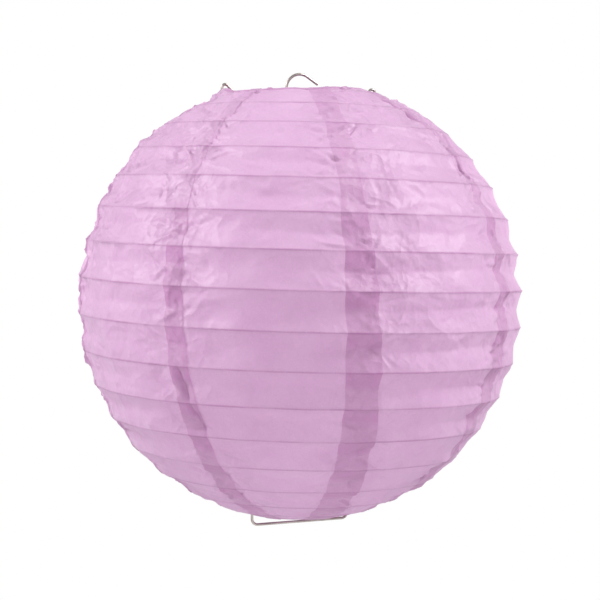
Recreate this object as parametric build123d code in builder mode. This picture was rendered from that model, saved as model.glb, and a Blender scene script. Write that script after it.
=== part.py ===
from build123d import *

import os
from math import atan2, cos, degrees, pi, radians, sin, sqrt

# Round paper lantern on a wire stretcher.
#
# Eight paper gores are pasted edge over edge round one continuous spiral wire.
# A plain wire ring closes each mouth, with the paper turned over it and pasted down.
# One bent spring wire, the stretcher, pushes the two rings apart and hangs the lantern.
#
# Z is up.  The origin is the underside of the hook's crown, where a hanging line bears.
# The stretcher lies in the XZ plane.  All sizes are in millimetres.

# --- shade: the paper's outer face ---
shade_diameter = 300.0
top_mouth_diameter = 104.0
bottom_mouth_diameter = 76.0
crown_height = 138.0  # widest line up to the top mouth
belly_depth = 145.0  # widest line down to the bottom mouth

# --- paper ---
paper_thickness = 0.25
paste_gap = 0.1  # paper to ring, and paper to paper in a lap
gore_count = 8
first_seam_angle = -7.3  # middle of the lap nearest +X
lap_width = 20.0  # measured round the widest line
joggle_angle = 0.6  # turn over which a gore steps up onto the next one
hem_width = 3.0  # paper turned back inside each mouth

# --- mouth rings ---
ring_wire_diameter = 1.5

# --- spiral rib ---
rib_wire_diameter = 0.9
rib_gap = 0.4  # rib to paper
rib_half_turns = 31
rib_start_angle = 265.0  # where the rib leaves the top hem
rib_drift = 2.7  # the turns lie looser round the middle and closer towards the mouths

# --- stretcher ---
stretcher_wire_diameter = 1.8
seat_gap = 0.35  # stretcher to hem
hook_rise = 12.65  # top mouth up to the underside of the crown
hook_bend_radius = 10.0
hook_tip_length = 9.0
hook_tip_slope = 33.0
shank_depth = 11.5  # top mouth down to the foot of the shank
run_depth = 1.7  # top mouth down to the outer ends of the runs
run_corner_radius = 4.0
crook_bend_radius = 2.2
crook_rise = 5.0  # peak of a top crook above the top mouth
crook_reach = 4.0  # outer leg of a top crook beyond the top mouth's edge
arm_drop = 9.0  # fall of a crook's arm from the hem to its upright
upright_radius = 33.0  # uprights from the lantern's axis
upright_bend_radius = 4.0
shoulder_reach = 3.3  # bump over the bottom ring, beyond the ring's centre
shoulder_rise = 12.0  # where an upright starts to lean out to its bump
foot_depth = 9.2  # bottom ring down to the foot bar
foot_bend_radius = 4.0
eye_height = 7.0  # eye above the foot of the shank
eye_gap = 0.35  # eye to shank
slit_length = 6.0
slit_width = 2.6

# --- heights ---
top_mouth_z = -hook_rise
widest_z = top_mouth_z - crown_height
bottom_mouth_z = widest_z - belly_depth

# --- the two bows of the shade's outline: arcs that meet level at the widest line ---
shade_radius = shade_diameter / 2
top_mouth_radius = top_mouth_diameter / 2
bottom_mouth_radius = bottom_mouth_diameter / 2


def bow_radius(mouth_radius, height):
    inset = shade_radius - mouth_radius
    return (inset**2 + height**2) / (2 * inset)


crown_bow = bow_radius(top_mouth_radius, crown_height)
belly_bow = bow_radius(bottom_mouth_radius, belly_depth)
crown_length = crown_bow * atan2(crown_height, crown_bow - shade_radius + top_mouth_radius)
belly_length = belly_bow * atan2(belly_depth, belly_bow - shade_radius + bottom_mouth_radius)


def skin(depth, travel):
    """Point (radius, height) under the paper's outer face, by travel up from the widest line."""
    bow = crown_bow if travel > 0 else belly_bow
    turn = travel / bow
    return (shade_radius - bow + (bow - depth) * cos(turn), widest_z + (bow - depth) * sin(turn))


def skin_strip(outer, inner, low, high):
    """Thin section between two depths of the skin, from one travel up to another."""
    stops = [low, 0, high] if low < 0 < high else [low, high]
    with BuildSketch() as strip:
        with BuildLine():
            for start, end in zip(stops, stops[1:]):
                middle = (start + end) / 2
                ThreePointArc(skin(outer, start), skin(outer, middle), skin(outer, end))
                ThreePointArc(skin(inner, start), skin(inner, middle), skin(inner, end))
            Line(skin(outer, low), skin(inner, low))
            Line(skin(outer, high), skin(inner, high))
        make_face()
    return strip.sketch


def hem_bend(edge, inward):
    """Section of the paper turned round a mouth ring, whose skin ends at travel edge."""
    centre = Vector(skin(ring_depth, edge))
    away = (centre - Vector(skin(ring_depth, edge + inward))).normalized()
    outer_mid = centre + away * ring_depth
    inner_mid = centre + away * (ring_depth - paper_thickness)
    inside = 2 * ring_depth
    with BuildSketch() as bend:
        with BuildLine():
            ThreePointArc(skin(0, edge), outer_mid, skin(inside, edge))
            ThreePointArc(skin(paper_thickness, edge), inner_mid, skin(inside - paper_thickness, edge))
            Line(skin(0, edge), skin(paper_thickness, edge))
            Line(skin(inside - paper_thickness, edge), skin(inside, edge))
        make_face()
    return bend.sketch


def upright_plane(angle):
    """Half plane through the lantern's axis, turned to an angle about it."""
    across = (cos(radians(angle)), sin(radians(angle)), 0)
    return Plane(origin=(0, 0, 0), x_dir=across, z_dir=(across[1], -across[0], 0))


# --- mouth rings: each lies under the skin, inside the turned edge of the paper ---
ring_wire_radius = ring_wire_diameter / 2
ring_depth = paper_thickness + paste_gap + ring_wire_radius
top_ring_radius, top_ring_z = skin(ring_depth, crown_length)
bottom_ring_radius, bottom_ring_z = skin(ring_depth, -belly_length)

with BuildPart() as top_ring:
    with BuildSketch(Plane.XZ):
        with Locations((top_ring_radius, top_ring_z)):
            Circle(ring_wire_radius)
    revolve(axis=Axis.Z)
top_ring.part.label = "top_ring"

with BuildPart() as bottom_ring:
    with BuildSketch(Plane.XZ):
        with Locations((bottom_ring_radius, bottom_ring_z)):
            Circle(ring_wire_radius)
    revolve(axis=Axis.Z)
bottom_ring.part.label = "bottom_ring"

# --- spiral rib: half turns of wire, each an arc whose ends lie at opposite sides of the shade ---
rib_wire_radius = rib_wire_diameter / 2
rib_depth = paper_thickness + rib_gap + rib_wire_radius
rib_end_gap = hem_width + rib_wire_diameter
rib_top = crown_length - rib_end_gap
rib_bottom = rib_end_gap - belly_length
rib_side = Vector(cos(radians(rib_start_angle)), sin(radians(rib_start_angle)), 0)
rib_ahead = Vector(-rib_side.Y, rib_side.X, 0)


def rib_point(step):
    """Where the rib crosses the upright plane through its start, after a number of half turns."""
    share = step / rib_half_turns
    drift = rib_drift * (sin(2 * pi * share) + 0.45 * sin(4 * pi * share) + 0.2 * sin(6 * pi * share))
    radius, height = skin(rib_depth, rib_top + (rib_bottom - rib_top) * share + drift)
    return rib_side * (radius * (-1) ** step) + Vector(0, 0, height)


with BuildPart() as spiral_rib:
    for step in range(rib_half_turns):
        half_start = rib_point(step)
        half_end = rib_point(step + 1)
        heading = rib_ahead * (-1) ** step
        middle = (half_start + half_end) * 0.5
        with BuildSketch(Plane(origin=half_start, x_dir=(0, 0, 1), z_dir=heading)):
            Circle(rib_wire_radius)
        revolve(axis=Axis(middle, (half_start - middle).cross(heading)), revolution_arc=180)
spiral_rib.part.label = "spiral_rib"

# --- stretcher: one wire from the hook's free tip, round the frame, to an eye on the hook's shank ---
wire_radius = stretcher_wire_diameter / 2
wire_seat = ring_depth + seat_gap + wire_radius

# top crook: an arm under the ring's hem, a leg up through the paper, and a hairpin back over
leg_radius = top_mouth_radius + crook_reach
arm_z = skin(2 * ring_depth, crown_length - hem_width)[1] - seat_gap - wire_radius
peak_z = top_mouth_z + crook_rise
crook_corner_z = peak_z - crook_bend_radius + crook_bend_radius / (sqrt(2) - 1)
run_z = top_mouth_z - run_depth
run_end_radius = leg_radius - (crook_corner_z - run_z)

# bottom shoulder: the upright leans out over the bottom ring, then drops through it to the foot bar
foot_radius = bottom_ring_radius - wire_seat - 0.2
shoulder_radius = bottom_ring_radius + shoulder_reach
shoulder_lift = wire_seat * sqrt(2)
shoulder_z = bottom_ring_z + shoulder_reach + shoulder_lift
neck_z = bottom_ring_z + foot_radius - bottom_ring_radius + shoulder_lift
lean_z = bottom_ring_z + shoulder_rise
foot_z = bottom_ring_z - foot_depth

# hook: a round crown, a straight tip and a shank
crown_z = wire_radius
shank_offset = hook_bend_radius
slope = radians(hook_tip_slope)
tip_bend = (hook_bend_radius * sin(slope), crown_z - hook_bend_radius + hook_bend_radius * cos(slope))
tip_end = (tip_bend[0] + hook_tip_length * cos(slope), tip_bend[1] - hook_tip_length * sin(slope))
shank_z = top_mouth_z - shank_depth
hook_corner_z = tip_bend[1] + (tip_bend[0] + shank_offset) * sin(slope) / cos(slope)

# eye: the right-hand run ends in a turn round the shank
eye_radius = stretcher_wire_diameter + eye_gap
eye_z = shank_z + eye_height

side = [
    (run_end_radius, run_z, run_corner_radius),
    (leg_radius, crook_corner_z, crook_bend_radius),
    (leg_radius, arm_z, crook_bend_radius),
    (upright_radius, arm_z - arm_drop, upright_bend_radius),
    (upright_radius, lean_z, upright_bend_radius),
    (shoulder_radius, shoulder_z, crook_bend_radius),
    (foot_radius, neck_z, crook_bend_radius),
    (foot_radius, foot_z, foot_bend_radius),
]
hook = [(tip_end[0], tip_end[1]), (-shank_offset, hook_corner_z), (-shank_offset, shank_z)]
route = [(x, 0, z) for x, z in hook]
route += [(-x, 0, z) for x, z, bend in side]
route += [(x, 0, z) for x, z, bend in reversed(side)]
route += [
    (-shank_offset + 4 * eye_radius, eye_radius, eye_z),
    (-shank_offset - eye_radius, eye_radius, eye_z),
    (-shank_offset - eye_radius, -eye_radius, eye_z),
    (-shank_offset + 2 * eye_radius, -eye_radius, eye_z),
]
bends = [hook_bend_radius, run_corner_radius]
bends += [bend for x, z, bend in side]
bends += [bend for x, z, bend in reversed(side)]
bends += [run_corner_radius, 0.95 * eye_radius, 0.95 * eye_radius]

with BuildPart() as stretcher_wire:
    with BuildLine() as wire_route:
        FilletPolyline(*route, radius=bends)
    bent_wire = wire_route.wires()[0]
    with BuildSketch(Plane(origin=bent_wire @ 0, z_dir=bent_wire % 0)):
        Circle(wire_radius)
    sweep(path=bent_wire)
stretcher_wire.part.label = "stretcher_wire"

# --- gores: a hemmed skin, stepped up along one edge to lie over its neighbour ---
gore_angle = 360 / gore_count
lap_angle = degrees(lap_width / shade_radius)
hem_depths = (2 * ring_depth - paper_thickness, 2 * ring_depth)
lap_depths = (-paste_gap - paper_thickness, -paste_gap)
hemmed_skin = [
    skin_strip(0, paper_thickness, -belly_length, crown_length),
    hem_bend(crown_length, -1),
    skin_strip(*hem_depths, crown_length - hem_width, crown_length),
    hem_bend(-belly_length, 1),
    skin_strip(*hem_depths, -belly_length, hem_width - belly_length),
]
joggle = skin_strip(lap_depths[0], paper_thickness, -belly_length, crown_length)
lap = skin_strip(*lap_depths, -belly_length, crown_length)


def make_gore(number):
    start_angle = first_seam_angle + number * gore_angle - lap_angle / 2
    end_angle = start_angle + gore_angle
    with BuildPart() as gore:
        with BuildSketch(upright_plane(start_angle)):
            add(hemmed_skin)
        revolve(axis=Axis.Z, revolution_arc=gore_angle)
        with BuildSketch(upright_plane(end_angle - joggle_angle)):
            add(joggle)
        revolve(axis=Axis.Z, revolution_arc=joggle_angle)
        with BuildSketch(upright_plane(end_angle)):
            add(lap)
        revolve(axis=Axis.Z, revolution_arc=lap_angle)
        # slits where the top crooks come up through the paper
        with Locations((leg_radius, 0, top_mouth_z), (-leg_radius, 0, top_mouth_z)):
            Box(slit_length, slit_width, 12, mode=Mode.SUBTRACT)
    gore.part.label = f"paper_gore_{number + 1}"
    return gore.part


pieces = [stretcher_wire.part, top_ring.part, bottom_ring.part, spiral_rib.part]
pieces += [make_gore(number) for number in range(gore_count)]

os.makedirs("parts", exist_ok=True)
for piece in pieces:
    export_step(piece, f"parts/{piece.label}.step")
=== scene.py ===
import math

import bmesh
import bpy
import numpy as np
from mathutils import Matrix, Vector


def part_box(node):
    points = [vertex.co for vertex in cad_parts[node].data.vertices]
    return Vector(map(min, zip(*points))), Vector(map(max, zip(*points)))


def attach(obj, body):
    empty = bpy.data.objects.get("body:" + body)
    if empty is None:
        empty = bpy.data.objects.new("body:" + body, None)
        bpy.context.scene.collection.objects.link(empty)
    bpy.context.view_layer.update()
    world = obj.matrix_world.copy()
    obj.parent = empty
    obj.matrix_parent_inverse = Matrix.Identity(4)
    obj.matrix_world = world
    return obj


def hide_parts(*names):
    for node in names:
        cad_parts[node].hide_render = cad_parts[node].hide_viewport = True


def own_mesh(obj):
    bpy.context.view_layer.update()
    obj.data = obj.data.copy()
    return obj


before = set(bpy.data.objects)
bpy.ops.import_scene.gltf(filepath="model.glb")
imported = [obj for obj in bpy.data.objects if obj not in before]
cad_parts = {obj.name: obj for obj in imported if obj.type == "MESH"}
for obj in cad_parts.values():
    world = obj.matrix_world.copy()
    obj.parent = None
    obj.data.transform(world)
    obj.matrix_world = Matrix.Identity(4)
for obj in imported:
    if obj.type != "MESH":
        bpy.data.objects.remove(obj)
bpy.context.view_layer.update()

# Camera. The lantern hangs at about eye level, a little over a metre away, and is turned so that
# the stretcher's left side comes nearer than its right.
top_ring_low, top_ring_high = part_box("top_ring")
top_ring_z = (top_ring_low.z + top_ring_high.z) / 2
widest_below_top_ring = 0.13696
widest_z = top_ring_z - widest_below_top_ring
viewed_from = math.radians(-22.6)
viewing_distance = 1.084
eye_above_widest = 0.050
tilt_down = math.radians(2.71)
camera_data = bpy.data.cameras.new("camera")
camera_data.sensor_width = 36.0
camera_data.lens = 95.6
camera_data.clip_start = 0.05
camera_data.clip_end = 30.0
camera = bpy.data.objects.new("camera", camera_data)
bpy.context.collection.objects.link(camera)
camera.location = (
    viewing_distance * math.sin(viewed_from),
    -viewing_distance * math.cos(viewed_from),
    widest_z + eye_above_widest,
)
camera.rotation_euler = (math.pi / 2 - tilt_down, 0, viewed_from)
bpy.context.scene.camera = camera

# Stretcher, one bent length of bright drawn spring wire: hook, crooks, uprights and foot bar.
# Its free tip is cut off square, and the wire is faintly stained and dulled by drawing marks.
def set_inputs(node, **values):
    """Set a shader node's inputs by name, written with _ for each space."""
    for name, value in values.items():
        node.inputs[name.replace("_", " ")].default_value = value
    return node


def drawn_wire(name, pale, dark, gloss):
    """Steel wire between a pale and a dark grey, with fine marks from the drawing die."""
    metal = bpy.data.materials.new(name)
    metal.use_nodes = True
    nodes, links = metal.node_tree.nodes, metal.node_tree.links
    steel = set_inputs(nodes["Principled BSDF"], Metallic=1.0)
    place = nodes.new("ShaderNodeTexCoord")
    stains = set_inputs(nodes.new("ShaderNodeTexNoise"), Scale=160.0, Detail=6.0)
    links.new(place.outputs["Object"], stains.inputs["Vector"])
    tint = nodes.new("ShaderNodeValToRGB")
    tint.color_ramp.elements[0].position = 0.35
    tint.color_ramp.elements[0].color = (*dark, 1)
    tint.color_ramp.elements[1].position = 0.62
    tint.color_ramp.elements[1].color = (*pale, 1)
    links.new(stains.outputs["Fac"], tint.inputs["Fac"])
    links.new(tint.outputs["Color"], steel.inputs["Base Color"])
    die_marks = set_inputs(nodes.new("ShaderNodeTexNoise"), Scale=2600.0, Detail=2.0)
    links.new(place.outputs["Object"], die_marks.inputs["Vector"])
    rough = set_inputs(nodes.new("ShaderNodeMapRange"), To_Min=gloss, To_Max=gloss + 0.18)
    links.new(die_marks.outputs["Fac"], rough.inputs["Value"])
    links.new(rough.outputs["Result"], steel.inputs["Roughness"])
    scratch = set_inputs(nodes.new("ShaderNodeBump"), Strength=0.25, Distance=0.00005)
    links.new(die_marks.outputs["Fac"], scratch.inputs["Height"])
    links.new(scratch.outputs["Normal"], steel.inputs["Normal"])
    return metal


def finish_node(node, material):
    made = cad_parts[node]
    made.data.materials.clear()
    made.data.materials.append(material)


spring_steel = drawn_wire("spring_steel", (0.44, 0.40, 0.38), (0.33, 0.28, 0.26), 0.28)
finish_node("stretcher_wire", spring_steel)

# Mouth rings, plain hoops of a slightly thinner wire.  The paper is turned over each one and
# pasted down, so little of the metal shows.
ring_steel = drawn_wire("ring_steel", (0.42, 0.39, 0.37), (0.32, 0.28, 0.27), 0.34)
finish_node("top_ring", ring_steel)
finish_node("bottom_ring", ring_steel)

# Spiral rib, one thin wire wound left-handed from the top mouth to the bottom one, a little looser
# round the middle.  It lies against the paper's inner face, and folds flat with it.  The shade's
# outline is two bows, one up to each mouth, that meet level at the widest line.
shade_radius = 0.150
top_mouth_radius, crown_height = 0.052, 0.138
bottom_mouth_radius, belly_depth = 0.038, 0.145


def bow_radius(mouth_radius, height):
    inset = shade_radius - mouth_radius
    return (inset**2 + height**2) / (2 * inset)


crown_bow = bow_radius(top_mouth_radius, crown_height)
belly_bow = bow_radius(bottom_mouth_radius, belly_depth)
top_edge = crown_bow * math.atan2(crown_height, crown_bow - shade_radius + top_mouth_radius)
bottom_edge = -belly_bow * math.atan2(belly_depth, belly_bow - shade_radius + bottom_mouth_radius)


def on_shade(travel, turn, depth):
    """Points at a travel up from the widest line, a turn in degrees and a depth under the face."""
    bow = np.where(travel > 0, crown_bow, belly_bow)
    lean = travel / bow
    radius = shade_radius - bow + (bow - depth) * np.cos(lean)
    height = widest_z + (bow - depth) * np.sin(lean)
    angle = np.radians(turn)
    return np.stack([radius * np.cos(angle), radius * np.sin(angle), height], -1)


rib_wire = 0.0009
tissue_and_gap = 0.00025 + 0.0004
rib_depth = tissue_and_gap + rib_wire / 2
rib_turns = 15.5
rib_start_turn = 265.0
rib_end_gap = 0.0039  # from a mouth's edge to the end of the rib
rib_top = top_edge - rib_end_gap
rib_bottom = bottom_edge + rib_end_gap
rib_pitch = (rib_top - rib_bottom) / rib_turns
rib_drift = 0.0027
even_turns, easing_turns = 3, 2.5


def rib_travel(turns):
    """Where the rib lies on the shade after a number of turns from its top end."""
    share = 2 * math.pi * np.clip(turns / rib_turns, 0, 1)
    drift = rib_drift * (np.sin(share) + 0.45 * np.sin(2 * share) + 0.2 * np.sin(3 * share))
    drift = drift * np.clip((turns - even_turns) / easing_turns, 0, 1)
    return rib_top - rib_pitch * turns + drift


def turns_at(travel, turn):
    """Turns wound at a place on the shade, counted so that whole numbers fall on the rib."""
    turns = (rib_top - travel) / rib_pitch
    for _ in range(4):
        turns = turns + (rib_travel(turns) - travel) / rib_pitch
    return turns - (turn - rib_start_turn) / 360


def mesh_piece(name, points, faces):
    mesh = bpy.data.meshes.new(name)
    mesh.from_pydata(points.tolist(), [], faces)
    mesh.polygons.foreach_set("use_smooth", [True] * len(mesh.polygons))
    made = bpy.data.objects.new(name, mesh)
    bpy.context.collection.objects.link(made)
    return made


def folds_with_shade(made):
    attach(made, "shade")
    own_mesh(made)


around, steps = 8, int(rib_turns * 96)
wound = np.linspace(0, rib_turns, steps + 1)
rib_line = on_shade(rib_travel(wound), rib_start_turn + 360 * wound, rib_depth)
rib_out = on_shade(rib_travel(wound), rib_start_turn + 360 * wound, 0) - rib_line
rib_out /= np.linalg.norm(rib_out, axis=1, keepdims=True)
rib_along = np.gradient(rib_line, axis=0)
rib_along /= np.linalg.norm(rib_along, axis=1, keepdims=True)
rib_side = np.cross(rib_along, rib_out)
ring_angle = np.linspace(0, 2 * math.pi, around, endpoint=False)
rib_points = (
    rib_line[:, None]
    + rib_wire / 2 * np.cos(ring_angle)[None, :, None] * rib_out[:, None]
    + rib_wire / 2 * np.sin(ring_angle)[None, :, None] * rib_side[:, None]
).reshape(-1, 3)
rib_faces = []
for start in range(0, steps * around, around):
    for k in range(around):
        after = (k + 1) % around
        rib_faces.append((start + k, start + after, start + around + after, start + around + k))
rib_faces += [tuple(range(around))[::-1], tuple(steps * around + k for k in range(around))]
spiral_rib = mesh_piece("rib_spiral", rib_points, rib_faces)
spiral_rib.data.materials.append(drawn_wire("rib_steel", (0.43, 0.40, 0.38), (0.33, 0.30, 0.28), 0.36))
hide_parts("spiral_rib")
folds_with_shade(spiral_rib)

# Paper gores, eight long leaves of thin crinkled tissue, dyed pale purple in the pulp.  They are
# pasted on the rib one after another, each lapped over the next, and turned over the mouth rings.
# Light comes through them, less where two layers are pasted together or the rib lies behind, and that
# loss is painted into the paper's colour as shade.
def lantern_paper(name, doubled, doubled_glow):
    """Tissue whose colour, lit and seen through, changes by these shares where it is doubled: partly
    the deeper colour of two dyed plies, partly painted shade for the light two plies hold back.
    """
    paper = bpy.data.materials.new(name)
    paper.use_nodes = True
    nodes, links = paper.node_tree.nodes, paper.node_tree.links
    face = set_inputs(
        nodes["Principled BSDF"],
        Roughness=0.5,
        Specular_IOR_Level=0.5,
        Sheen_Weight=0.15,
        Sheen_Roughness=0.6,
    )
    place = nodes.new("ShaderNodeTexCoord")
    clouds = set_inputs(nodes.new("ShaderNodeTexNoise"), Scale=34.0, Detail=5.0, Roughness=0.6)
    links.new(place.outputs["Object"], clouds.inputs["Vector"])
    dye = nodes.new("ShaderNodeValToRGB")
    dye.color_ramp.elements[0].position = 0.3
    dye.color_ramp.elements[0].color = (0.628, 0.406, 0.605, 1)
    dye.color_ramp.elements[1].position = 0.68
    dye.color_ramp.elements[1].color = (0.668, 0.460, 0.645, 1)
    links.new(clouds.outputs["Fac"], dye.inputs["Fac"])
    fibres = set_inputs(nodes.new("ShaderNodeTexNoise"), Scale=900.0, Detail=3.0, Distortion=1.5)
    links.new(place.outputs["Object"], fibres.inputs["Vector"])
    flecks = nodes.new("ShaderNodeMapRange")
    set_inputs(flecks, From_Min=0.3, From_Max=0.7, To_Min=0.93, To_Max=1.03)
    links.new(fibres.outputs["Fac"], flecks.inputs["Value"])

    # painted shadow: where the rib lies behind the tissue, the colour is painted in patches as a fine
    # darker line, partly the paste along the rib and partly the rib's shadow seen through the paper
    rib_shadow_seen = nodes.new("ShaderNodeAttribute")
    rib_shadow_seen.attribute_name = "rib_shadow_and_paste"
    rib_patches = set_inputs(nodes.new("ShaderNodeTexNoise"), Scale=30.0)
    links.new(place.outputs["Object"], rib_patches.inputs["Vector"])
    rib_share = nodes.new("ShaderNodeMapRange")
    set_inputs(rib_share, From_Min=0.35, From_Max=0.65, To_Min=0.10, To_Max=0.30)
    links.new(rib_patches.outputs["Fac"], rib_share.inputs["Value"])
    rib_dark = nodes.new("ShaderNodeMath")
    rib_dark.operation = "MULTIPLY"
    links.new(rib_shadow_seen.outputs["Fac"], rib_dark.inputs[0])
    links.new(rib_share.outputs["Result"], rib_dark.inputs[1])
    rib_left = nodes.new("ShaderNodeVectorMath")
    rib_left.operation = "MULTIPLY_ADD"
    rib_left.inputs[1].default_value = (-0.75, -1.35, -0.85)
    rib_left.inputs[2].default_value = (1, 1, 1)
    links.new(rib_dark.outputs[0], rib_left.inputs[0])
    shade_of = nodes.new("ShaderNodeVectorMath")
    shade_of.operation = "SCALE"
    links.new(rib_left.outputs["Vector"], shade_of.inputs[0])
    links.new(flecks.outputs["Result"], shade_of.inputs["Scale"])

    # pasted laps and turned edges are darker: partly the deeper colour of two dyed plies, partly
    # painted shade for the light that two plies hold back
    plies = nodes.new("ShaderNodeAttribute")
    plies.attribute_name = "lap_tone_and_shade"

    def darkened(colour, change):
        tint = nodes.new("ShaderNodeVectorMath")
        tint.operation = "MULTIPLY_ADD"
        tint.inputs[1].default_value = change
        tint.inputs[2].default_value = (1, 1, 1)
        links.new(plies.outputs["Fac"], tint.inputs[0])
        product = nodes.new("ShaderNodeVectorMath")
        product.operation = "MULTIPLY"
        links.new(colour, product.inputs[0])
        links.new(tint.outputs["Vector"], product.inputs[1])
        return product.outputs["Vector"]

    single = nodes.new("ShaderNodeVectorMath")
    single.operation = "MULTIPLY"
    links.new(dye.outputs["Color"], single.inputs[0])
    links.new(shade_of.outputs["Vector"], single.inputs[1])
    dyed = darkened(single.outputs["Vector"], doubled)
    links.new(dyed, face.inputs["Base Color"])

    # crushed tissue: bent facets in two sizes, over fine fibres
    bending = set_inputs(nodes.new("ShaderNodeTexNoise"), Scale=55.0, Detail=3.0)
    links.new(place.outputs["Object"], bending.inputs["Vector"])
    swirl = nodes.new("ShaderNodeVectorMath")
    swirl.operation = "MULTIPLY_ADD"
    swirl.inputs[1].default_value = (0.014, 0.014, 0.014)
    links.new(bending.outputs["Color"], swirl.inputs[0])
    links.new(place.outputs["Object"], swirl.inputs[2])
    height = None
    for facets, rise in ((48.0, 1.6), (150.0, 0.40)):
        facet = set_inputs(nodes.new("ShaderNodeTexVoronoi"), Scale=facets)
        links.new(swirl.outputs["Vector"], facet.inputs["Vector"])
        scaled = nodes.new("ShaderNodeMath")
        scaled.operation = "MULTIPLY_ADD"
        scaled.inputs[1].default_value = rise
        links.new(facet.outputs["Distance"], scaled.inputs[0])
        if height is not None:
            links.new(height, scaled.inputs[2])
        height = scaled.outputs[0]
    crushed = nodes.new("ShaderNodeAttribute")
    crushed.attribute_name = "crushed"
    crinkle = nodes.new("ShaderNodeMath")
    crinkle.operation = "MULTIPLY"
    links.new(height, crinkle.inputs[0])
    links.new(crushed.outputs["Fac"], crinkle.inputs[1])
    coarse = set_inputs(nodes.new("ShaderNodeBump"), Strength=1.0, Distance=0.0030)
    links.new(crinkle.outputs[0], coarse.inputs["Height"])
    fine = set_inputs(nodes.new("ShaderNodeBump"), Strength=0.3, Distance=0.00008)
    links.new(fibres.outputs["Fac"], fine.inputs["Height"])
    links.new(coarse.outputs["Normal"], fine.inputs["Normal"])
    links.new(fine.outputs["Normal"], face.inputs["Normal"])

    # light through the tissue
    glow = nodes.new("ShaderNodeBsdfTranslucent")
    inner_light = nodes.new("ShaderNodeVectorMath")
    inner_light.operation = "MULTIPLY"
    inner_light.inputs[1].default_value = (1.12, 1.00, 1.08)
    links.new(dyed, inner_light.inputs[0])
    links.new(darkened(inner_light.outputs["Vector"], doubled_glow), glow.inputs["Color"])
    links.new(fine.outputs["Normal"], glow.inputs["Normal"])
    both = set_inputs(nodes.new("ShaderNodeMixShader"), Fac=0.42)
    links.new(face.outputs["BSDF"], both.inputs[1])
    links.new(glow.outputs["BSDF"], both.inputs[2])
    links.new(both.outputs["Shader"], nodes["Material Output"].inputs["Surface"])
    return paper


single_paper = lantern_paper("single_paper", (0, 0, 0), (0, 0, 0))
# the lapped tissue is a darker copy of the single one: partly the deeper colour of two dyed plies,
# partly painted shade
lapped_paper = lantern_paper("lapped_paper", (-0.09, -0.25, -0.12), (-0.10, -0.12, -0.10))

gore_count = 8
first_seam = -7.3
ply = 0.0003
ring_depth = 0.0011  # middle of a mouth ring under the paper's face
top_hem, bottom_hem = 0.0036, 0.0032  # travel over which the turned edge doubles the paper

# each lap's place off its even spacing, its width, how far it leans (degrees) and how much of it
# still shows high up
seam_shift = [0.0, 0.8, -0.6, 0.5, -2.0, -1.3, -0.5, 0.3]
seam_width = [0.017, 0.020, 0.015, 0.019, 0.009, 0.0135, 0.0215, 0.016]
seam_lean = [-3.0, -4.0, -5.0, -3.5, -4.0, -4.4, -4.2, -5.0]
seam_fading = [0.4, 0.6, 0.3, 0.5, 0.3, 0.15, 0.5, 0.5]

# long folds pressed into two of the laps: across the lap, travel, slant, length, width, height
pressed_folds = {
    5: [(-0.003, -0.034, -84, 0.055, 0.0024, -0.0045), (-0.011, -0.032, -72, 0.034, 0.0060, 0.0011)],
    7: [(-0.006, 0.165, -86, 0.050, 0.0022, -0.0030), (-0.004, 0.118, -80, 0.050, 0.0022, -0.0030)],
}


def smooth_noise(points, scale, seed, waves=28):
    """Gentle noise of about -1 to 1 over points in space, with features about scale across."""
    dice = np.random.default_rng(seed)
    heading = dice.normal(size=(waves, 3)) * 1.9 / scale
    phase = dice.uniform(0, 2 * math.pi, waves)
    return np.sin(points @ heading.T + phase).sum(-1) * math.sqrt(2 / waves) * 0.8


def seam_turn(seam, travel):
    """Middle of a lap, in degrees round the axis; the paste-up wanders a little."""
    which = seam % gore_count
    wander = 0.30 * np.sin(travel / 0.045 + 1.7 * which) + 0.14 * np.sin(travel / 0.0083 + 2.9 * which)
    wander += 0.08 * np.sin(travel / 0.0047 + 4.1 * which)
    wander += seam_lean[which] * travel / 0.3
    return first_seam + 360 / gore_count * seam + seam_shift[which] + wander


def seam_half(seam, travel):
    """Half the lap's width, in degrees."""
    which = seam % gore_count
    radius = on_shade(travel, np.zeros_like(travel), 0.0)[..., 0]
    spread = seam_width[which] * (1 + 0.05 * np.sin(travel / 0.0075 + which))
    narrowed = np.interp(travel, [-0.02, 0.045, 0.070, 0.18], [1.03, 0.85, 0.66, 0.66])
    return np.degrees(spread * narrowed / 2 / np.maximum(radius, 0.045))


def band_place(travel, turn):
    """Travels of the rib's turns above and below a place, or of the mouth's edge past its ends."""
    above = np.floor(turns_at(travel, turn)) + (turn - rib_start_turn) / 360
    upper = np.where(above < 0, top_edge, rib_travel(above))
    lower = np.where(above + 1 > rib_turns, bottom_edge, rib_travel(above + 1))
    return upper, lower


def pucker_list(seam):
    """Creases beside one lap: place, direction, length, width and height of each."""
    dice = np.random.default_rng(100 + seam)
    found = []
    travel = top_edge - 0.012
    while travel > bottom_edge + 0.010:
        turn = float(seam_turn(seam, np.array(travel)))
        middle = float(np.mean(band_place(np.array(travel), np.array(turn))))
        knot_x = dice.normal(0, 0.004)
        knot_y = middle + dice.normal(0, 0.003)
        for _ in range(7):
            side = dice.choice((-1, 1))
            slant = dice.uniform(-58, 58)
            length = dice.uniform(0.008, 0.030)
            found.append((
                turn, knot_x + side * dice.uniform(0, 0.006), knot_y + dice.normal(0, 0.003),
                math.radians(slant) + (math.pi if side < 0 else 0), length,
                dice.uniform(0.0015, 0.0034), dice.choice((-1, 1)) * dice.uniform(0.0005, 0.0013),
                dice.normal(0, 5.0),
            ))
        travel -= rib_pitch
    for across, travel, slant, length, width, tall in pressed_folds.get(seam, []):
        turn = float(seam_turn(seam, np.array(travel - length / 2)))
        found.append((turn, across, travel, math.radians(slant), length, width, tall, 1.5))
    return found


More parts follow.
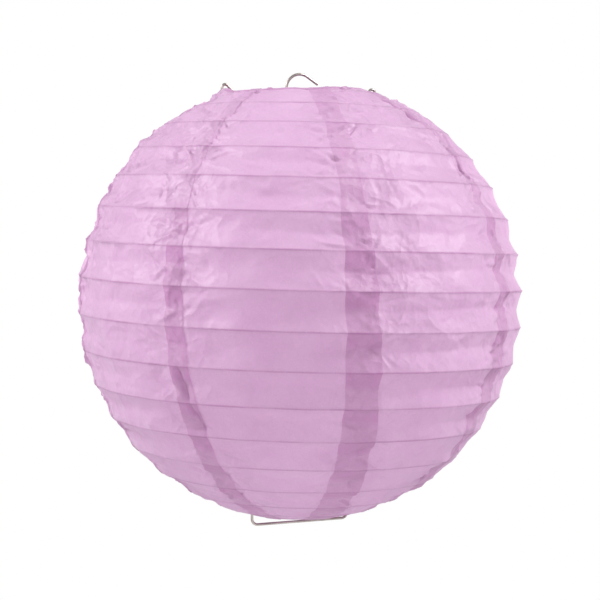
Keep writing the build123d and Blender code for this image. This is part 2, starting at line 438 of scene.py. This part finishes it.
def wrinkle_list(gore):
    """Stray creases across the open part of a leaf."""
    dice = np.random.default_rng(300 + gore)
    found = []
    for _ in range(150):
        travel = dice.uniform(bottom_edge + 0.01, top_edge - 0.01)
        turn = first_seam + 360 / gore_count * (gore + dice.uniform(0.05, 0.95))
        slant = dice.normal(-35 if dice.random() < 0.6 else 30, 22)
        found.append((
            turn, 0.0, travel, math.radians(slant), dice.uniform(0.010, 0.040),
            dice.uniform(0.0016, 0.0042), dice.choice((-1, 1)) * dice.uniform(0.0002, 0.0007),
            dice.normal(0, 4.0),
        ))
    return found


def crease_height(travel, turn, creases):
    """Height of all the creases at points of the shade: each is a bent line with a sharp top."""
    radius = on_shade(travel, np.zeros_like(travel), 0.0)[..., 0]
    height = np.zeros_like(travel)
    for base, x0, y0, heading, length, width, tall, bend in creases:
        across = radius * np.radians((turn - base + 180) % 360 - 180) - x0
        up = travel - y0
        near = (np.abs(across) < 0.06) & (np.abs(up) < 0.06)
        a, u = across[near], up[near]
        along = a * math.cos(heading) + u * math.sin(heading)
        aside = -a * math.sin(heading) + u * math.cos(heading) - bend * along**2
        share = np.clip(along / length, 0, 1)
        taper = np.sin(math.pi * share**0.6) * ((along > 0) & (along < length))
        height[near] += tall * taper * np.clip(1 - np.abs(aside / width), 0, 1) ** 1.3
    return 0.0022 * np.tanh(height / 0.0022)


# how deep the pleats between turns of the rib are, by travel up from the widest line
pleat_at = [-0.200, -0.120, -0.060, 0.0, 0.060, 0.110, 0.145, 0.185]
pleat_deep = [0.0008, 0.0014, 0.0028, 0.0036, 0.0033, 0.0017, 0.0010, 0.0008]

# the two crooks of the stretcher come out through slits, and push the paper out round them
crook_turns = (0.0, 180.0)
crook_travel = top_edge - 0.0043
crook_bump, crook_bump_width = 0.0040, 0.0065
slit_half_width = 0.0009
slit_start, slit_end = 0.0535, 0.0590  # from the lantern's axis

# the side of the shade that is crushed least, in degrees round the axis
smoothest_turn, smoothest_width = 238, 25


def crumple(travel, turn):
    """How crushed the tissue is, 0 to 1: most beside the laps and in broad patches."""
    radius = on_shade(travel, np.zeros_like(travel), 0.0)[..., 0]
    amount = np.zeros_like(travel)
    for seam in range(gore_count):
        off = radius * np.radians((turn - seam_turn(seam, travel) + 180) % 360 - 180)
        amount = np.maximum(amount, np.exp(-((np.maximum(off, 0) / 0.034) ** 2)) * (off >= 0))
        amount = np.maximum(amount, np.exp(-((off / 0.020) ** 2)) * (off < 0))
    place = on_shade(travel, turn, 0.0)
    from_smoothest = (turn - smoothest_turn + 180) % 360 - 180
    patch = 1 - 0.9 * np.exp(-((from_smoothest / smoothest_width) ** 2))
    patch = patch * np.clip(0.85 + travel / 0.35, 0.35, 1.2)
    patch = patch * np.clip(0.85 + 0.35 * smooth_noise(place, 0.08, 21), 0, 1.3)
    return np.clip(0.10 + 0.65 * amount * (0.6 + 0.4 * patch) + 0.36 * patch, 0, 1)


def paper_depth(travel, turn, creases):
    """How far the paper lies inside the smooth shade, from its pleats, puckers and the crooks."""
    around_shade = on_shade(travel, turn, 0.0)
    upper, lower = band_place(travel, turn)
    tall = np.maximum(upper - lower, 1e-6)
    share = np.clip((upper - travel) / tall, 0, 1)
    flat = around_shade * (1, 1, 1.6)
    crest = 0.47 + 0.09 * smooth_noise(flat, 0.10, 11)
    fold = np.where(share < crest, share / crest, (1 - share) / (1 - crest))
    sharp = np.clip(0.8 + 0.4 * smooth_noise(flat, 0.09, 12), 0, 1)
    round_fold = 1 - (1 - fold) ** 2
    soft = sharp * fold + (1 - sharp) * round_fold * 0.85
    deep = np.interp(travel, pleat_at, pleat_deep) * (1 + 0.30 * smooth_noise(flat, 0.07, 13))
    deep *= np.clip(tall / rib_pitch, 0.15, 1.0)
    depth = deep * soft
    damp = 0.15 + 0.85 * np.clip(fold * 3.0, 0, 1)
    crushed = crumple(travel, turn)
    depth += damp * (0.0002 + 0.0006 * crushed) * smooth_noise(flat, 0.022, 14)
    depth += damp * (0.0001 + 0.00025 * crushed) * smooth_noise(flat, 0.010, 15, 40)
    depth += damp * 0.00008 * crushed * smooth_noise(flat, 0.005, 16, 60)
    depth -= damp * (0.5 + 1.0 * crushed) * crease_height(travel, turn, creases)
    from_rib = np.minimum(share, 1 - share) * tall
    bead = 0.00022 * np.exp(-((from_rib / 0.0007) ** 2))
    on_rib = (travel < rib_top + 0.001) & (travel > rib_bottom - 0.001)
    depth -= np.where(on_rib, bead, 0)
    for crook in crook_turns:
        spot = on_shade(np.array(crook_travel), np.array(crook), 0.0)
        away = np.linalg.norm(around_shade - spot, axis=-1)
        depth -= crook_bump * np.exp(-((away / crook_bump_width) ** 2))
    return depth


def lap_tone_and_shade_at(gore, travel, turn, share):
    """How plainly a doubled place shows, as painted shade: most just under each turn of the rib, where
    the band faces down into shade, and least high up, where the paper is lit.
    """
    seam = np.where(share < 1.5, gore, gore + 1) % gore_count
    upper, lower = band_place(travel, turn)
    down = np.clip((upper - travel) / np.maximum(upper - lower, 1e-6), 0, 1)
    shows = 1.2 - 0.5 * np.clip((down - 0.35) / 0.2, 0, 1)
    fading = np.array(seam_fading)[seam]
    return shows * (1 - (1 - fading) * np.clip((travel - 0.035) / 0.04, 0, 1))


rows_per_band = 30


def leaf_columns():
    """Share across the leaf: 0 to 1 over the first lap, 1 to 2 between laps, 2 to 3 over the next."""
    first = np.linspace(0, 1, rows_per_band // 2 + 1)
    even = np.linspace(0, 1, rows_per_band * 4 + 1)
    middle = 1 + even - 0.35 * np.sin(2 * math.pi * even) / (2 * math.pi)
    return np.concatenate([first, middle[1:], 2 + first[1:]])


def leaf_grid(gore):
    """Share across, travel and turn of a leaf's points: rows follow the rib, columns run down."""
    columns = leaf_columns()
    low_turn = first_seam + 360 / gore_count * (gore - 0.5)
    high_turn = low_turn + 2 * 360 / gore_count
    first_line = math.floor(-(top_edge - rib_top) / rib_pitch - (high_turn - rib_start_turn) / 360)
    last_line = math.ceil((rib_top - bottom_edge) / rib_pitch - (low_turn - rib_start_turn) / 360)
    step = np.linspace(0, 1, rows_per_band, endpoint=False)
    step = step - 0.55 * np.sin(2 * math.pi * step) / (2 * math.pi)
    lines = (np.arange(first_line, last_line)[:, None] + step[None]).ravel()
    lines = np.append(lines, last_line)
    share = np.broadcast_to(columns, (len(lines), len(columns)))
    wound = np.broadcast_to(lines[:, None], share.shape)
    travel = np.zeros(share.shape)
    for _ in range(5):
        near_mid, near_half = seam_turn(gore, travel), seam_half(gore, travel)
        far_mid, far_half = seam_turn(gore + 1, travel), seam_half(gore + 1, travel)
        first_lap = near_mid - near_half + 2 * near_half * share
        between = near_mid + near_half + (far_mid - far_half - near_mid - near_half) * (share - 1)
        next_lap = far_mid - far_half + 2 * far_half * (share - 2)
        turn = np.where(share < 1, first_lap, np.where(share < 2, between, next_lap))
        travel = np.clip(rib_travel(wound + (turn - rib_start_turn) / 360), bottom_edge, top_edge)
    return share, travel, turn


def turned_edge(edge, inward, turn, depth):
    """Rows of paper from a mouth's edge round its ring, then back along the inside."""
    ring = on_shade(np.full_like(turn, edge), turn, ring_depth)
    out = on_shade(np.full_like(turn, edge), turn, 0.0) - ring
    out /= np.linalg.norm(out, axis=-1, keepdims=True)
    away = ring - on_shade(np.full_like(turn, edge + inward * 0.001), turn, ring_depth)
    away /= np.linalg.norm(away, axis=-1, keepdims=True)
    rows = []
    for bend in np.linspace(0, math.pi, 9)[1:]:
        reach = ring_depth - depth * max(math.cos(bend), 0)
        rows.append(ring + reach[:, None] * (math.cos(bend) * out + math.sin(bend) * away))
    for back in (0.001, 0.002, 0.003):
        rows.append(on_shade(np.full_like(turn, edge + inward * back), turn, 2 * ring_depth))
    return np.array(rows)


def make_leaf(gore):
    share, travel, turn = leaf_grid(gore)
    creases = pucker_list(gore) + pucker_list((gore + 1) % gore_count) + wrinkle_list(gore)
    creases += wrinkle_list((gore + 1) % gore_count) + wrinkle_list((gore - 1) % gore_count)
    depth = paper_depth(travel, turn, creases)
    # the lapped edge lies a ply above the leaf under it
    depth = depth - ply * np.clip((share - 2) / 0.12, 0, 1)
    upper, lower = band_place(travel, turn)
    # painted shadow of the rib seen through the tissue, with the paste along it: a fine line along
    # each turn of the rib
    from_rib = np.minimum(np.abs(upper - travel), np.abs(travel - lower))
    rib_shadow_and_paste = np.exp(-((from_rib / 0.0006) ** 2))
    rib_shadow_and_paste *= (travel < rib_top + 0.001) & (travel > rib_bottom - 0.001)

    top_rows = turned_edge(top_edge, -1, turn[0], depth[0])[::-1]
    bottom_rows = turned_edge(bottom_edge, 1, turn[-1], depth[-1])
    points = np.concatenate([top_rows, on_shade(travel, turn, depth), bottom_rows])
    turned = ((len(top_rows), len(bottom_rows)), (0, 0))
    rib_shadow_and_paste = np.pad(rib_shadow_and_paste, turned)
    turn = np.pad(turn, turned, mode="edge")
    travel = np.pad(travel, turned, constant_values=((top_edge, bottom_edge), (0, 0)))

    index = np.arange(travel.size).reshape(travel.shape)
    corners = np.stack([index[:-1, :-1], index[:-1, 1:], index[1:, 1:], index[1:, :-1]], -1)
    middle_travel = (travel[:-1, :-1] + travel[1:, 1:]) / 2
    middle_share = (share[0, :-1] + share[0, 1:]) / 2
    doubled = (middle_share[None, :] > 2) | (middle_travel > top_edge - top_hem)
    doubled |= middle_travel < bottom_edge + bottom_hem
    centre = (points[:-1, :-1] + points[1:, 1:]) / 2
    reach = np.abs(centre[..., 0])
    slit = (np.abs(centre[..., 1]) < slit_half_width) & (centre[..., 2] > widest_z + 0.10)
    slit &= (reach > slit_start) & (reach < slit_end)
    left_side = np.linalg.norm(points[:-1, :-1] - points[1:, :-1], axis=-1)
    right_side = np.linalg.norm(points[:-1, 1:] - points[1:, 1:], axis=-1)
    keep = ~slit & (left_side + right_side > 1e-7)
    leaf = mesh_piece(f"paper_leaf_{gore + 1}", points.reshape(-1, 3), corners[keep].tolist())
    leaf.data.materials.append(single_paper)
    leaf.data.materials.append(lapped_paper)
    leaf.data.polygons.foreach_set("material_index", doubled[keep].astype(np.int32).ravel())

    # painted shade on the laps, set full on the turned edges at the mouths
    shows = lap_tone_and_shade_at(gore, travel, turn, share[0])
    shows[(travel > top_edge - top_hem) | (travel < bottom_edge + bottom_hem)] = 1
    crushed = crumple(travel, turn)
    for label, values in (("rib_shadow_and_paste", rib_shadow_and_paste), ("crushed", crushed), ("lap_tone_and_shade", shows)):
        field = leaf.data.attributes.new(label, "FLOAT", "POINT")
        field.data.foreach_set("value", values.ravel().astype(np.float32))
    trimmed = bmesh.new()
    trimmed.from_mesh(leaf.data)
    bmesh.ops.remove_doubles(trimmed, verts=trimmed.verts, dist=1e-6)
    loose = [v for v in trimmed.verts if not v.link_faces]
    bmesh.ops.delete(trimmed, geom=loose, context="VERTS")
    trimmed.to_mesh(leaf.data)
    trimmed.free()
    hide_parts(f"paper_gore_{gore + 1}")
    folds_with_shade(leaf)


for gore in range(gore_count):
    make_leaf(gore)

# Studio: a pale floor well below the hanging lantern, an even white surround, and soft lamps.
floor_mesh = bpy.data.meshes.new("floor")
floor_radius, floor_z, floor_sides = 2.2, -1.3, 64
floor_angles = np.linspace(0, 2 * math.pi, floor_sides, endpoint=False)
floor_ring = [(floor_radius * math.cos(a), floor_radius * math.sin(a), floor_z) for a in floor_angles]
floor_mesh.from_pydata(floor_ring, [], [tuple(range(floor_sides))])
floor = bpy.data.objects.new("floor", floor_mesh)
bpy.context.collection.objects.link(floor)
floor_paint = bpy.data.materials.new("floor_paint")
floor_paint.use_nodes = True
floor_face = floor_paint.node_tree.nodes["Principled BSDF"]
set_inputs(floor_face, Base_Color=(0.90, 0.90, 0.90, 1), Roughness=0.9)
floor.data.materials.append(floor_paint)


def soft_lamp(name, place, size, power):
    lamp = bpy.data.lights.new(name, "AREA")
    lamp.shape = "RECTANGLE"
    lamp.size, lamp.size_y = size
    lamp.energy = power
    hung = bpy.data.objects.new(name, lamp)
    bpy.context.collection.objects.link(hung)
    hung.location = place
    aim = Vector((0, 0, widest_z)) - Vector(place)
    hung.rotation_euler = aim.to_track_quat("-Z", "Y").to_euler()


def around_camera(side, ahead, up):
    """A place given as seen from the camera: to the right, towards the camera, and up."""
    across = Vector((math.cos(viewed_from), math.sin(viewed_from), 0))
    towards = Vector((math.sin(viewed_from), -math.cos(viewed_from), 0))
    return tuple(across * side + towards * ahead + Vector((0, 0, widest_z + up)))


soft_lamp("left_softbox", around_camera(-1.6, 0.2, 1.2), (0.7, 0.7), 44)
soft_lamp("right_softbox", around_camera(1.4, 0.2, 1.3), (0.6, 0.6), 40)
soft_lamp("front_softbox", around_camera(0.1, 1.9, 0.5), (1.0, 0.8), 7)
soft_lamp("low_softbox", around_camera(0.3, 1.6, -0.95), (1.2, 0.8), 7)
surround = bpy.data.worlds.new("surround")
surround.use_nodes = True
sky_nodes, sky_links = surround.node_tree.nodes, surround.node_tree.links
facing = sky_nodes.new("ShaderNodeTexCoord")
apart = sky_nodes.new("ShaderNodeSeparateXYZ")
sky_links.new(facing.outputs["Generated"], apart.inputs["Vector"])
wall = sky_nodes.new("ShaderNodeValToRGB")
wall.color_ramp.elements[0].position = 0.30
wall.color_ramp.elements[0].color = (0.85, 0.85, 0.85, 1)
wall.color_ramp.elements[1].position = 0.36
wall.color_ramp.elements[1].color = (1, 1, 1, 1)
for stop, grey in ((0.60, 1.0), (0.70, 0.35)):
    added = wall.color_ramp.elements.new(stop)
    added.color = (grey, grey, grey, 1)
level = set_inputs(sky_nodes.new("ShaderNodeMapRange"), From_Min=-1.0)
sky_links.new(apart.outputs["Z"], level.inputs["Value"])
sky_links.new(level.outputs["Result"], wall.inputs["Fac"])
sky_links.new(wall.outputs["Color"], sky_nodes["Background"].inputs["Color"])
bpy.context.scene.world = surround
bpy.context.scene.view_settings.view_transform = "Standard"
